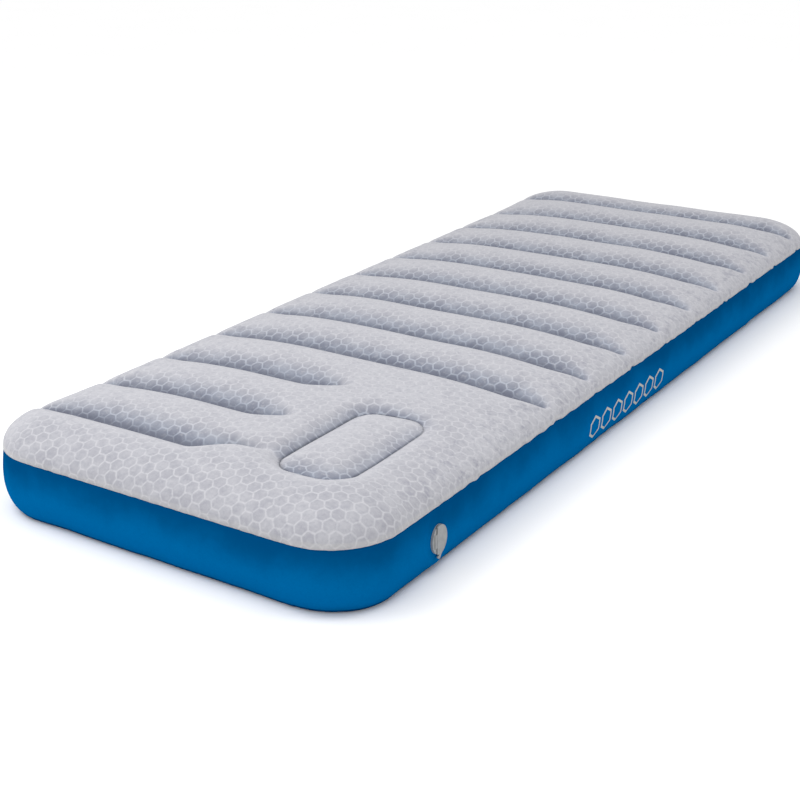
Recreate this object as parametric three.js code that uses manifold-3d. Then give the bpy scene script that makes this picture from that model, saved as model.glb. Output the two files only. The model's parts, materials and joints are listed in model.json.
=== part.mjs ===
// Single air bed with cross beams and a built-in foot pump, in millimetres, +Z up.
// Origin: centre of the footprint on the floor. +Y points to the head end, +X to the pump side.
import * as THREE from "three";
import { mergeVertices } from "three/addons/utils/BufferGeometryUtils.js";
import Module from "manifold-3d";

const wasm = await Module();
wasm.setup();

// ---- Driving dimensions ----
const LENGTH = 2100; // seam to seam
const WIDTH = 800;
const CORNER_R = 122; // plan radius of the seam
const SEAM_Z = 115; // where the grey top meets the blue wall
const CREST_Z = 175; // top of a channel
const SAG = 32; // how far a weld line lies below a crest
const SIDE_ROLL = 300; // how far in from the long sides the top reaches its full height
const END_ROLL = 142; // the same at the two ends
const ROLL_POWER = 2.1;
const SHEET = 0.8; // PVC sheet, with its flock
const GAP = 0.4; // clearance between neighbouring sheets
const LAP = 5; // height of the welded lap above the seam

const SHOULDER_Z = SEAM_Z + LAP;

const BEAM_COUNT = 12;
const BEAM_PITCH = 165;
const BEAM_REACH = 384; // half length of a full beam's weld to the top
const BEAM_FOOT = 360; // and of its weld to the base
const BEAM_FLARE_Z = 40; // a beam reaches its full length at this height
const BEAM_END_DROP = 8; // how far a beam's top would fall clear of the sheet at the seam
const SHORT_BEAMS = 3; // the beams beside the pump stop short of it
const SHORT_BEAM_END = 62;
const CREASE_FADE = 16; // length over which a crease runs out

const PUMP_X = 211;
const PUMP_Y = -777;
const PUMP_WIDTH = 140;
const PUMP_LENGTH = 274;
const PUMP_CORNER = 44;
const GROOVE_DEPTH = 20;
const GROOVE_REACH = 40; // how far the groove's slopes spread on either side
const GROOVE_EASE = 0.45; // share by which the groove is shallower at the corner towards the head and +X

const WALL_BULGE = 6; // how far the side wall stands out past the seam
const WALL_TUCK = 24; // how far the wall's foot lies inside the seam
const WALL_FLANGE = 12; // wall turned in over the base sheet

const VALVE_Y = -818;
const VALVE_Z = 58;
const VALVE_OUTER_X = 405.5; // outermost plane of both valves
const VALVE_FLAT_R = 31; // the wall lies flat this far round a valve
const VALVE_FADE_R = 57; // and is back to its bulge here
const FLANGE_R = 29;
const FLANGE_THICK = 1.2;
const TRANSFER_Z = 40;

// Valve radii, and stations along the valve axis from the wall's outer face, outward positive.
const COLLAR_TAIL = -18;
const RIM = [0.4, 1.8];
const GASKET = [2.1, 3.1];
const GASKET_WIDTH = 1;

const INTAKE_BORE = 10.2;
const INTAKE_TUBE = 13;
const COVER = { halfWidth: 21, halfHeight: 25.5, offset: -2 }; // its centre lies beside the bore
const FOLD_X = -11; // the cover's living hinge: the part beyond it is fixed
const LID = [3.4, 5.9];
const FOLD_WEB = 0.6; // thickness of the hinge web, at the lid's outer face
const STRAP = { halfHeight: 12, width: 5, step: 1.2 }; // raised band beside the fold
const TAB = { end: -33, radius: 4.5, start: -18, slope: 10 }; // the lid's pull tab
const LID_PLUG_WALL = 1.4;
const DUCT_END = -6;

const RELEASE_BORE = 18;
const RELEASE_TUBE = 21.5;
const RELEASE_RIM = 25;
const TETHER = [3.4, 4.8];
const TETHER_WIDTH = 9;
const CAP = [5.1, 8.5];
const CAP_WALL = 1.6;
const CAP_PLUG_END = -4;
const CAP_GRIP = { width: 4, margin: 6, rise: 0.9 }; // the bar that the fingers turn
const EAR_REACH = 36; // from the valve axis down to the fixed end of the tether
const EAR_WIDTH = 12;

// The one-way valve between the pump and the bed.
const TRANSFER_BORE = 12.4;
const TRANSFER_R = 14.6;
const TRANSFER_START = -3;
const TRANSFER_LIP = 20;
const TRANSFER_LIP_THICK = 1.5;
const TRANSFER_END = 9;

const FLAP = 0.8; // thickness of both check flaps
const FLAP_TAB = 6; // width of the tab each of them hinges on
const GRILLE = [-15, -13];
const GRILLE_BAR = 2.4;

const ARC_STEPS = 6;
const ROUND_STEPS = 48;

// ---- Materials ----
const material = (color, roughness, metalness = 0) =>
  new THREE.MeshStandardMaterial({ color, roughness, metalness });
const FLOCK = material(0xc9cad0, 0.95);
const BLUE_VINYL = material(0x005c9c, 0.45);
const BASE_VINYL = material(0x0a4f86, 0.5);
const BEAM_VINYL = material(0xb9c4cc, 0.5);
const FOAM = material(0xe6dfb8, 0.95);
const VALVE_PLASTIC = material(0xa9adb0, 0.45);
const SEAL = material(0xe9eaea, 0.6);

// ---- Solids and meshes ----
const root = new THREE.Group();

function toSolid(geometry) {
  const bare = geometry.index ? geometry.toNonIndexed() : geometry.clone();
  bare.deleteAttribute("normal");
  bare.deleteAttribute("uv");
  const merged = mergeVertices(bare, 1e-3);
  return new wasm.Manifold(
    new wasm.Mesh({
      numProp: 3,
      vertProperties: merged.attributes.position.array,
      triVerts: new Uint32Array(merged.index.array),
    }),
  );
}

function toGeometry(solid) {
  const { numProp, numVert, vertProperties, triVerts } = solid.getMesh();
  const position = new Float32Array(numVert * 3);
  for (let i = 0; i < numVert; i++)
    position.set(vertProperties.subarray(i * numProp, i * numProp + 3), i * 3);
  return new THREE.BufferGeometry()
    .setAttribute("position", new THREE.BufferAttribute(position, 3))
    .setIndex(new THREE.BufferAttribute(triVerts, 1));
}

function addPiece(name, geometry, surface, parent = root) {
  const mesh = new THREE.Mesh(geometry, surface);
  mesh.name = name;
  parent.add(mesh);
  return mesh;
}

function surfaceOf(points, triangles) {
  const geometry = new THREE.BufferGeometry();
  geometry.setAttribute("position", new THREE.Float32BufferAttribute(points.flat(), 3));
  geometry.setIndex(triangles);
  return geometry;
}

// Gives an open surface a thickness, measured inwards along its normals, and closes its edges.
function thicken(points, triangles, thickness) {
  const surface = surfaceOf(points, triangles);
  surface.computeVertexNormals();
  const normal = surface.attributes.normal;
  const count = points.length;
  const inner = points.map(([x, y, z], i) => [
    x - normal.getX(i) * thickness,
    y - normal.getY(i) * thickness,
    z - normal.getZ(i) * thickness,
  ]);
  const faces = [...triangles];
  const edges = new Map();
  for (let i = 0; i < triangles.length; i += 3) {
    const [a, b, c] = triangles.slice(i, i + 3);
    faces.push(a + count, c + count, b + count);
    for (const [p, q] of [[a, b], [b, c], [c, a]]) edges.set(`${p},${q}`, [p, q]);
  }
  for (const [p, q] of edges.values())
    if (!edges.has(`${q},${p}`)) faces.push(q, p, p + count, q, p + count, q + count);
  return surfaceOf([...points, ...inner], faces);
}

// ---- The shape of the top ----
const clamp01 = (t) => Math.min(1, Math.max(0, t));
const smooth = (t) => clamp01(t) ** 2 * (3 - 2 * clamp01(t));
const beamY = (k) => (k - (BEAM_COUNT - 1) / 2) * BEAM_PITCH;
const beamEnd = (k) => (k < SHORT_BEAMS ? SHORT_BEAM_END : BEAM_REACH);

// Distance to a rounded rectangle's outline, negative inside it.
function outlineDistance(x, y, halfX, halfY, radius) {
  const qx = Math.abs(x) - (halfX - radius);
  const qy = Math.abs(y) - (halfY - radius);
  return Math.hypot(Math.max(qx, 0), Math.max(qy, 0)) + Math.min(Math.max(qx, qy), 0) - radius;
}

// Share of the full height that the rounded shoulder has reached.
function shoulderRise(x, y) {
  const inside = -outlineDistance(x, y, WIDTH / 2, LENGTH / 2, CORNER_R);
  const roll = Math.min(SIDE_ROLL, Math.max(END_ROLL, LENGTH / 2 - Math.abs(y)));
  return (1 - (1 - clamp01(inside / roll)) ** ROLL_POWER) ** (1 / ROLL_POWER);
}

function topZ(x, y) {
  let crown = CREST_Z;
  for (let k = 0; k < BEAM_COUNT; k++) {
    const across = Math.max(0, 1 - (2 * Math.abs(y - beamY(k))) / BEAM_PITCH) ** 2;
    const past = Math.max(x - beamEnd(k), -x - BEAM_REACH);
    crown -= SAG * across * (1 - smooth((past + CREASE_FADE) / (2 * CREASE_FADE)));
  }
  const toPump = outlineDistance(x - PUMP_X, y - PUMP_Y, PUMP_WIDTH / 2, PUMP_LENGTH / 2, PUMP_CORNER);
  const corner = smooth((x - PUMP_X) / PUMP_WIDTH + (y - PUMP_Y) / PUMP_LENGTH);
  const depth = GROOVE_DEPTH * (1 - GROOVE_EASE * corner);
  crown -= depth * Math.max(0, 1 - Math.abs(toPump) / GROOVE_REACH) ** 2;
  return SHOULDER_Z + (crown - SHOULDER_Z) * shoulderRise(x, y);
}

// ---- Stations of the top sheet's grid ----
function halfWidthAt(y) {
  const past = Math.max(0, Math.abs(y) - STRAIGHT_Y);
  return STRAIGHT_X + Math.sqrt(Math.max(0, CORNER_R ** 2 - past ** 2));
}

const STRAIGHT_Y = LENGTH / 2 - CORNER_R;
const STRAIGHT_X = WIDTH / 2 - CORNER_R;
const evenly = (from, to, steps) =>
  Array.from({ length: steps + 1 }, (_, i) => from + ((to - from) * i) / steps);
const CORNER_ROWS = evenly(Math.PI / 2, 0, ARC_STEPS).map(
  (angle) => STRAIGHT_Y + CORNER_R * Math.sin(angle),
);

function rowStations() {
  const pumpSteps = 8;
  const plainSteps = 4;
  const rows = CORNER_ROWS.map((y) => -y);
  for (let k = 0; k < BEAM_COUNT - 1; k++)
    rows.push(...evenly(beamY(k), beamY(k + 1), k < 2 ? pumpSteps : plainSteps).slice(0, -1));
  return [...rows, beamY(BEAM_COUNT - 1), ...CORNER_ROWS.toReversed()];
}

// Fractions of the half width.
function columnStations() {
  const shoulder = [1, 0.96, 0.89, 0.81];
  const left = [...shoulder, 0.5].map((u) => -u);
  const beamEndShare = SHORT_BEAM_END / (WIDTH / 2);
  return [...left, 0, ...evenly(beamEndShare, 0.73, 8), ...shoulder.toReversed()];
}

const ROWS = rowStations();
const COLUMNS = columnStations();

// The seam's outline, anticlockwise, as points with outward normals.
function seamLoop() {
  const aroundValve = evenly(VALVE_Y - VALVE_FADE_R, VALVE_Y + VALVE_FADE_R, 10);
  const corner = (signX, signY, from) =>
    evenly(from, from + Math.PI / 2, ARC_STEPS).map((angle) => ({
      x: signX * STRAIGHT_X + CORNER_R * Math.cos(angle),
      y: signY * STRAIGHT_Y + CORNER_R * Math.sin(angle),
      nx: Math.cos(angle),
      ny: Math.sin(angle),
    }));
  const side = (sign) => aroundValve.map((y) => ({ x: (sign * WIDTH) / 2, y, nx: sign, ny: 0 }));
  return [
    ...corner(1, -1, -Math.PI / 2),
    ...side(1),
    ...corner(1, 1, 0),
    ...corner(-1, 1, Math.PI / 2),
    ...side(-1).reverse(),
    ...corner(-1, -1, Math.PI),
  ];
}

const SEAM = seamLoop();

// ---- Sheets ----
function pumpOutline(offset) {
  const halfX = PUMP_WIDTH / 2 + offset;
  const halfY = PUMP_LENGTH / 2 + offset;
  const r = PUMP_CORNER + offset;
  const shape = new THREE.Shape();
  shape.moveTo(halfX, -halfY + r);
  shape.absarc(halfX - r, halfY - r, r, 0, Math.PI / 2);
  shape.absarc(-halfX + r, halfY - r, r, Math.PI / 2, Math.PI);
  shape.absarc(-halfX + r, -halfY + r, r, Math.PI, 1.5 * Math.PI);
  shape.absarc(halfX - r, -halfY + r, r, 1.5 * Math.PI, 2 * Math.PI);
  return shape;
}

function extrudeAtPump(shape, bottom, top) {
  const geometry = new THREE.ExtrudeGeometry(shape, {
    depth: top - bottom,
    bevelEnabled: false,
    curveSegments: ARC_STEPS,
  });
  return geometry.translate(PUMP_X, PUMP_Y, bottom);
}

function topSheet() {
  const width = COLUMNS.length;
  const points = [];
  for (const y of ROWS)
    for (const u of COLUMNS) {
      const x = u * halfWidthAt(y);
      points.push([x, y, topZ(x, y)]);
    }
  const triangles = [];
  for (let r = 0; r < ROWS.length - 1; r++)
    for (let c = 0; c < width - 1; c++) {
      const a = r * width + c;
      triangles.push(a, a + 1, a + width, a + 1, a + width + 1, a + width);
    }
  // The skirt that laps over the side wall hangs from the grid's own edge.
  const edge = [];
  for (let r = 0; r < ROWS.length; r++) edge.push(r * width + width - 1);
  for (let c = width - 2; c > 0; c--) edge.push((ROWS.length - 1) * width + c);
  for (let r = ROWS.length - 1; r >= 0; r--) edge.push(r * width);
  for (let c = 1; c < width - 1; c++) edge.push(c);
  const first = points.length;
  for (const i of edge) points.push([points[i][0], points[i][1], SEAM_Z]);
  edge.forEach((upper, i) => {
    const next = (i + 1) % edge.length;
    triangles.push(upper, first + i, edge[next], edge[next], first + i, first + next);
  });
  const opening = extrudeAtPump(pumpOutline(GAP), 0, CREST_Z + LAP);
  const sheet = toSolid(thicken(points, triangles, SHEET));
  return toGeometry(sheet.subtract(toSolid(opening)));
}

// How far the wall lies inside the seam's outline at height z.
function wallInset(z) {
  const u = clamp01(z / SEAM_Z);
  const tuck = WALL_TUCK * (1 - Math.sqrt(1 - (1 - u) ** 4));
  return tuck - WALL_BULGE * Math.sin(Math.PI * Math.min(1, u * 1.06));
}

function holeAlongX(x, y, z, radius) {
  const hole = new THREE.CylinderGeometry(radius, radius, 30, ROUND_STEPS);
  return toSolid(hole.rotateZ(Math.PI / 2).translate(x, y, z));
}

function sideWall() {
  const lapInset = SHEET + GAP;
  const foot = SHEET + GAP;
  const heights = [105, 90, 74, 58, 42, 28, 16, 7];
  const profile = [
    { inset: lapInset, z: SHOULDER_Z - GAP },
    { inset: lapInset, z: SEAM_Z },
    ...heights.map((z) => ({ inset: wallInset(z), z, free: true })),
    { inset: WALL_TUCK, z: foot },
    { inset: WALL_TUCK + WALL_FLANGE, z: foot },
  ];
  const points = [];
  for (const { x, y, nx, ny } of SEAM)
    for (const { inset, z, free } of profile) {
      const seat = WIDTH / 2 - (x > 0 ? INTAKE_SEAT : RELEASE_SEAT);
      const fromValve = Math.hypot(y - VALVE_Y, z - VALVE_Z);
      const flat = smooth((VALVE_FADE_R - fromValve) / (VALVE_FADE_R - VALVE_FLAT_R));
      const share = free && ny === 0 ? flat : 0;
      const depth = inset + (seat - inset) * share;
      points.push([x - nx * depth, y - ny * depth, z]);
    }
  const width = profile.length;
  const triangles = [];
  for (let i = 0; i < SEAM.length; i++)
    for (let j = 0; j < width - 1; j++) {
      const a = i * width + j;
      const b = ((i + 1) % SEAM.length) * width + j;
      triangles.push(a, a + 1, b, b, a + 1, b + 1);
    }
  let wall = toSolid(thicken(points, triangles, SHEET));
  wall = wall.subtract(holeAlongX(INTAKE_SEAT, VALVE_Y, VALVE_Z, INTAKE_TUBE + 1));
  wall = wall.subtract(holeAlongX(-RELEASE_SEAT, VALVE_Y, VALVE_Z, RELEASE_TUBE + 1));
  return toGeometry(wall);
}

function baseSheet() {
  const shape = new THREE.Shape(
    SEAM.map(({ x, y, nx, ny }) => new THREE.Vector2(x - nx * WALL_TUCK, y - ny * WALL_TUCK)),
  );
  return new THREE.ExtrudeGeometry(shape, { depth: SHEET, bevelEnabled: false });
}

// A vertical web standing on the base sheet, its top edge just under the weld line.
function crossBeam(k) {
  const y = beamY(k);
  const end = beamEnd(k);
  const foot = Math.min(end, BEAM_FOOT);
  const bottom = SHEET + GAP;
  const inner = COLUMNS.map((u) => u * (WIDTH / 2)).filter((x) => x > -BEAM_REACH && x < end);
  const stations = [-BEAM_REACH, ...inner, end];
  const under = (x) => 2 * (SHEET + GAP) + BEAM_END_DROP * (1 - shoulderRise(x, y)) ** 2;
  const shape = new THREE.Shape();
  shape.moveTo(-BEAM_REACH, BEAM_FLARE_Z);
  shape.lineTo(-BEAM_FOOT, bottom);
  shape.lineTo(foot, bottom);
  if (end > foot) shape.lineTo(end, BEAM_FLARE_Z);
  for (const x of stations.toReversed()) shape.lineTo(x, topZ(x, y) - under(x));
  const web = new THREE.ExtrudeGeometry(shape, { depth: SHEET, bevelEnabled: false });
  return web.rotateX(Math.PI / 2).translate(0, y + SHEET / 2, 0);
}

// ---- Foot pump ----
const PAD_OFFSET = -(SHEET + 2 * GAP);
const FOAM_OFFSET = -5;

// A block over the pump whose top follows the bed's surface, lowered by drop.
function pumpBlock(drop, bottom) {
  const margin = 8;
  const width = PUMP_WIDTH + 2 * margin;
  const length = PUMP_LENGTH + 2 * margin;
  const block = new THREE.BoxGeometry(width, length, 1, 9, 16, 1);
  block.translate(PUMP_X, PUMP_Y, 0);
  const p = block.attributes.position;
  for (let i = 0; i < p.count; i++)
    p.setZ(i, p.getZ(i) > 0 ? topZ(p.getX(i), p.getY(i)) - drop : bottom);
  return toSolid(block);
}

function pumpPad() {
  const outline = extrudeAtPump(pumpOutline(PAD_OFFSET), 0, CREST_Z + LAP);
  const crown = pumpBlock(0, SEAM_Z).intersect(toSolid(outline));
  return toGeometry(crown.subtract(pumpBlock(SHEET, SEAM_Z - SHEET)));
}

function pumpFoam() {
  const outline = extrudeAtPump(pumpOutline(FOAM_OFFSET), 0, CREST_Z + LAP);
  return toGeometry(pumpBlock(SHEET + GAP, SHEET + 2 * GAP).intersect(toSolid(outline)));
}

function pumpWall() {
  const top = CREST_Z - GROOVE_DEPTH - GAP;
  const outside = toSolid(extrudeAtPump(pumpOutline(0), SHEET + GAP, top));
  const inside = toSolid(extrudeAtPump(pumpOutline(-SHEET), 0, top + LAP));
  const tube = outside
    .subtract(inside)
    .subtract(holeAlongX(PUMP_X + PUMP_WIDTH / 2, VALVE_Y, VALVE_Z, INTAKE_TUBE - 1))
    .subtract(holeAlongX(PUMP_X - PUMP_WIDTH / 2, PUMP_Y, TRANSFER_Z, TRANSFER_R + GAP));
  return toGeometry(tube);
}

// ---- Turned pieces: a profile of [radius, station] spun about the local Z axis ----
function turned(profile) {
  const onAxis = profile[0][0] === 0;
  const loop = onAxis ? profile : [...profile, profile[0]];
  const points = loop.map(([r, w]) => new THREE.Vector2(r, w));
  return new THREE.LatheGeometry(points, ROUND_STEPS).rotateX(Math.PI / 2);
}

function ring(inner, outer, from, to) {
  return turned([[inner, from], [outer, from], [outer, to], [inner, to]]);
}

function disc(radius, from, to) {
  return turned([[0, from], [radius, from], [radius, to], [0, to]]);
}

function block(width, height, from, to, centreY) {
  const box = new THREE.BoxGeometry(width, height, to - from);
  return box.translate(0, centreY, (from + to) / 2);
}

const joined = (...parts) => toGeometry(parts.map(toSolid).reduce((a, b) => a.add(b)));

// ---- Valves, each in a frame whose +Z points along side * X and whose +Y is up ----
function valveFrame(side, x, y, z) {
  const frame = new THREE.Group();
  frame.position.set(x, y, z);
  const upright = new THREE.Matrix4().makeBasis(
    new THREE.Vector3(0, side, 0),
    new THREE.Vector3(0, 0, 1),
    new THREE.Vector3(side, 0, 0),
  );
  frame.quaternion.setFromRotationMatrix(upright);
  root.add(frame);
  return frame;
}

// Behind the wall, a ring welded to it; in front, a gasket on the collar's rim.
function valveSeat(name, side, seat, tube, bore, collar) {
  const frame = valveFrame(side, side * seat, VALVE_Y, VALVE_Z);
  const behindWall = -(SHEET + GAP);
  const flange = ring(tube + GAP, FLANGE_R, behindWall - FLANGE_THICK, behindWall);
  const gasket = ring(bore + GAP, bore + GAP + GASKET_WIDTH, ...GASKET);
  addPiece(`${name}_flange`, flange, BLUE_VINYL, frame);
  addPiece(`${name}_collar`, collar, VALVE_PLASTIC, frame);
  addPiece(`${name}_gasket`, gasket, SEAL, frame);
  return frame;
}

// ---- Intake: an oval cover folded on a living hinge, over a grille and a one-way flap ----
const INTAKE_SEAT = VALVE_OUTER_X - LID[1];

// The slice of the oval cover whose x lies between two values.
function coverSlice(from, to, bottom, top) {
  const outline = new THREE.Shape();
  outline.absellipse(COVER.offset, 0, COVER.halfWidth, COVER.halfHeight, 0, 2 * Math.PI);
  const cover = new THREE.ExtrudeGeometry(outline, {
    depth: top - bottom,
    bevelEnabled: false,
    curveSegments: ROUND_STEPS / 2,
  });
  const slice = block(to - from, 2 * COVER.halfHeight + 2, bottom - 1, top + 1, 0);
  slice.translate((from + to) / 2, 0, 0);
  return toSolid(cover.translate(0, 0, bottom)).intersect(toSolid(slice));
}

const COVER_LEFT = COVER.offset - COVER.halfWidth - 1;
const COVER_RIGHT = COVER.offset + COVER.halfWidth + 1;

function intakeCollar() {
  const fixedTop = LID[1] - STRAP.step;
  const fixedEnd = FOLD_X - 1;
  const tube = toSolid(ring(INTAKE_BORE, INTAKE_TUBE, COLLAR_TAIL, RIM[1]));
  const rim = coverSlice(COVER_LEFT, COVER_RIGHT, ...RIM);
  const fixedThird = coverSlice(COVER_LEFT, fixedEnd, RIM[0], fixedTop);
  const strap = block(STRAP.width, 2 * STRAP.halfHeight, fixedTop - 0.5, LID[1], 0);
  strap.translate(fixedEnd - STRAP.width / 2, 0, 0);
  const bore = toSolid(disc(INTAKE_BORE, COLLAR_TAIL - 1, LID[1]));
  return toGeometry(rim.add(tube).subtract(bore).add(fixedThird).add(toSolid(strap)));
}

function pullTab() {
  const left = FOLD_X + 2;
  const shape = new THREE.Shape();
  shape.moveTo(left, TAB.start);
  shape.absarc(left + TAB.radius, TAB.end + TAB.radius, TAB.radius, Math.PI, 2 * Math.PI);
  shape.lineTo(TAB.slope, TAB.start);
  const depth = LID[1] - LID[0];
  const plate = new THREE.ExtrudeGeometry(shape, { depth, bevelEnabled: false, curveSegments: 5 });
  return toSolid(plate.translate(0, 0, LID[0]));
}

function intakeLid() {
  const webSpan = 1.4;
  const web = block(webSpan, 2 * STRAP.halfHeight, LID[1] - FOLD_WEB, LID[1], 0);
  const plugR = INTAKE_BORE - GAP;
  const plug = ring(plugR - LID_PLUG_WALL, plugR, 0, LID[0] + 0.5);
  const lid = coverSlice(FOLD_X + 0.8, COVER_RIGHT, ...LID)
    .add(pullTab())
    .add(toSolid(web.translate(FOLD_X + 0.5, 0, 0)))
    .add(toSolid(plug));
  return toGeometry(lid);
}

function intakeGrille() {
  const hoop = ring(INTAKE_BORE - 3, INTAKE_BORE - GAP, ...GRILLE);
  const bar = block(GRILLE_BAR, 2 * (INTAKE_BORE - 2), GRILLE[0] + 0.4, GRILLE[1], 0);
  return joined(hoop, bar, bar.clone().rotateZ(Math.PI / 2));
}

// A round diaphragm with a hinge tab at its top.
function flap(radius, from, tabTop) {
  const tab = block(FLAP_TAB, tabTop, from, from + FLAP, tabTop / 2);
  return joined(disc(radius, from, from + FLAP), tab);
}

// The sleeve that leads air from the intake to the pump chamber.
function intakeDuct() {
  const from = PUMP_X + PUMP_WIDTH / 2 + GAP - INTAKE_SEAT;
  return ring(INTAKE_TUBE + GAP, INTAKE_TUBE + GAP + SHEET, from, DUCT_END);
}

function intakeValve() {
  const frame = valveSeat("intake", 1, INTAKE_SEAT, INTAKE_TUBE, INTAKE_BORE, intakeCollar());
  const flapFrom = GRILLE[0] - GAP - FLAP;
  addPiece("intake_lid", intakeLid(), VALVE_PLASTIC, frame);
  addPiece("intake_grille", intakeGrille(), VALVE_PLASTIC, frame);
  addPiece("intake_flap", flap(INTAKE_BORE - 1.6, flapFrom, INTAKE_BORE - 1.2), SEAL, frame);
  addPiece("intake_duct", intakeDuct(), BEAM_VINYL, frame);
}

// ---- Release: a screw cap held by a tether ----
const RELEASE_SEAT = VALVE_OUTER_X - CAP[1];

function releaseCollar() {
  const body = turned([
    [RELEASE_BORE, COLLAR_TAIL],
    [RELEASE_TUBE, COLLAR_TAIL],
    [RELEASE_TUBE, RIM[0]],
    [RELEASE_RIM, RIM[0]],
    [RELEASE_RIM, RIM[1]],
    [RELEASE_BORE, RIM[1]],
  ]);
  const earTop = RELEASE_TUBE;
  const ear = block(EAR_WIDTH, EAR_REACH - earTop, ...RIM, -(EAR_REACH + earTop) / 2);
  return joined(body, ear);
}

function releaseTether() {
  const strapTop = RELEASE_RIM - 3;
  const hoop = ring(RELEASE_BORE, RELEASE_RIM - 1.5, ...TETHER);
  const strap = block(TETHER_WIDTH, EAR_REACH - strapTop, ...TETHER, -(EAR_REACH + strapTop) / 2);
  return joined(hoop, strap);
}

function releaseCap() {
  const edge = 0.8; // chamfer round the cap
  const top = CAP[1] - CAP_GRIP.rise;
  const plug = RELEASE_BORE - GAP;
  const lid = turned([
    [0, top - CAP_WALL],
    [plug - CAP_WALL, top - CAP_WALL],
    [plug - CAP_WALL, CAP_PLUG_END],
    [plug, CAP_PLUG_END],
    [plug, CAP[0]],
    [RELEASE_RIM - edge, CAP[0]],
    [RELEASE_RIM, CAP[0] + edge],
    [RELEASE_RIM, top - edge],
    [RELEASE_RIM - edge, top],
    [0, top],
  ]);
  const grip = block(CAP_GRIP.width, 2 * (RELEASE_RIM - CAP_GRIP.margin), top - 1, CAP[1], 0);
  return joined(lid, grip);
}

function releaseValve() {
  const frame = valveSeat("release", -1, RELEASE_SEAT, RELEASE_TUBE, RELEASE_BORE, releaseCollar());
  addPiece("release_tether", releaseTether(), VALVE_PLASTIC, frame);
  addPiece("release_cap", releaseCap(), VALVE_PLASTIC, frame);
}

// ---- Transfer valve: lets air out of the pump into the bed ----
function transferCollar() {
  const lipTop = GAP + TRANSFER_LIP_THICK;
  const body = turned([
    [TRANSFER_BORE, TRANSFER_START],
    [TRANSFER_R, TRANSFER_START],
    [TRANSFER_R, GAP],
    [TRANSFER_LIP, GAP],
    [TRANSFER_LIP, lipTop],
    [TRANSFER_R, lipTop],
    [TRANSFER_R, TRANSFER_END],
    [TRANSFER_BORE, TRANSFER_END],
  ]);
  return joined(body, block(10, 4, GAP + 1, TRANSFER_END, TRANSFER_R + 1.5));
}

function transferValve() {
  const frame = valveFrame(-1, PUMP_X - PUMP_WIDTH / 2, PUMP_Y, TRANSFER_Z);
  addPiece("transfer_collar", transferCollar(), VALVE_PLASTIC, frame);
  addPiece("transfer_flap", flap(TRANSFER_R, TRANSFER_END + GAP, TRANSFER_R + 3), SEAL, frame);
}

// ---- Assembly ----
addPiece("top_sheet", topSheet(), FLOCK);
addPiece("side_wall", sideWall(), BLUE_VINYL);
addPiece("bottom_sheet", baseSheet(), BASE_VINYL);
for (let k = 0; k < BEAM_COUNT; k++)
  addPiece(`cross_beam_${String(k + 1).padStart(2, "0")}`, crossBeam(k), BEAM_VINYL);

addPiece("pump_pad", pumpPad(), FLOCK);
addPiece("pump_foam", pumpFoam(), FOAM);
addPiece("pump_wall", pumpWall(), BEAM_VINYL);
transferValve();

intakeValve();
releaseValve();

export default root;
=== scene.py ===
# Inflated single air bed: flocked top with welded channels and a foot pump, blue vinyl wall, two valves.
import json
from math import cos, pi, radians, sin

import bpy
import numpy as np
from mathutils import Matrix, Vector


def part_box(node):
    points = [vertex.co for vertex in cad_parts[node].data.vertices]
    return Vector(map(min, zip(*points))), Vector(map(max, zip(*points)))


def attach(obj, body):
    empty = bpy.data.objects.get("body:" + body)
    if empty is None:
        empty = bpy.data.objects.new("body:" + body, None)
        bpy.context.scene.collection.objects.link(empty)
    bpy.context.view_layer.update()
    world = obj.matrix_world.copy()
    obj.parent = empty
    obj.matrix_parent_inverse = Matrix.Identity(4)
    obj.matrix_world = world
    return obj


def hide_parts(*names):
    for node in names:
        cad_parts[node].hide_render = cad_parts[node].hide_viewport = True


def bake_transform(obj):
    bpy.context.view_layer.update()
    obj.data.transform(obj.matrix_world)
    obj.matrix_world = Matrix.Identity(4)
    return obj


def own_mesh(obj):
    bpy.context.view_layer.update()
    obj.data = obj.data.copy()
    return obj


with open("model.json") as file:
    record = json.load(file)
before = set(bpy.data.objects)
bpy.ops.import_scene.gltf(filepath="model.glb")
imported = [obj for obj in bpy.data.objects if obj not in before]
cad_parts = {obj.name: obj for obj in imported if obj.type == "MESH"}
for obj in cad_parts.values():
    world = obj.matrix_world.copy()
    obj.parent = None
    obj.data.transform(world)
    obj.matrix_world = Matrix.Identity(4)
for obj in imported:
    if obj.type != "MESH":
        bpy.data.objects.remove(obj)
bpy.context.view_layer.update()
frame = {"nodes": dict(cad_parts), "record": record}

MM = 0.001

# ---- Dimensions, all worked out from the frame ----
TOP_LOW, TOP_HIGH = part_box("top_sheet")
PUMP_LOW, PUMP_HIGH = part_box("pump_wall")

HALF_W = TOP_HIGH.x
HALF_L = TOP_HIGH.y
CORNER = 0.305 * HALF_W
STRAIGHT_X = HALF_W - CORNER
STRAIGHT_Y = HALF_L - CORNER
CREST_Z = TOP_HIGH.z
SEAM_Z = TOP_LOW.z
SHEET = 0.8 * MM
SIDE_ROLL = 0.75 * HALF_W  # how far in from the long sides the top reaches its full height
END_ROLL = 0.355 * HALF_W  # the same at the two ends
ROLL_POWER = 2.1  # roundness of the shoulder at the two ends
FULLNESS = 0.3  # added to it on the crests' ends along the sides
SAG = 0.515 * (CREST_Z - SEAM_Z)
VALLEY_POWER = 2.6  # how sharply the cloth turns up from a weld


def beam_boxes():
    """(y, left end, right end) of every cross beam, from the pump end."""
    names = sorted(n for n in frame["nodes"] if n.startswith("cross_beam_"))
    boxes = [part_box(n) for n in names]
    return [((low.y + high.y) / 2, low.x, high.x) for low, high in boxes]


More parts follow.
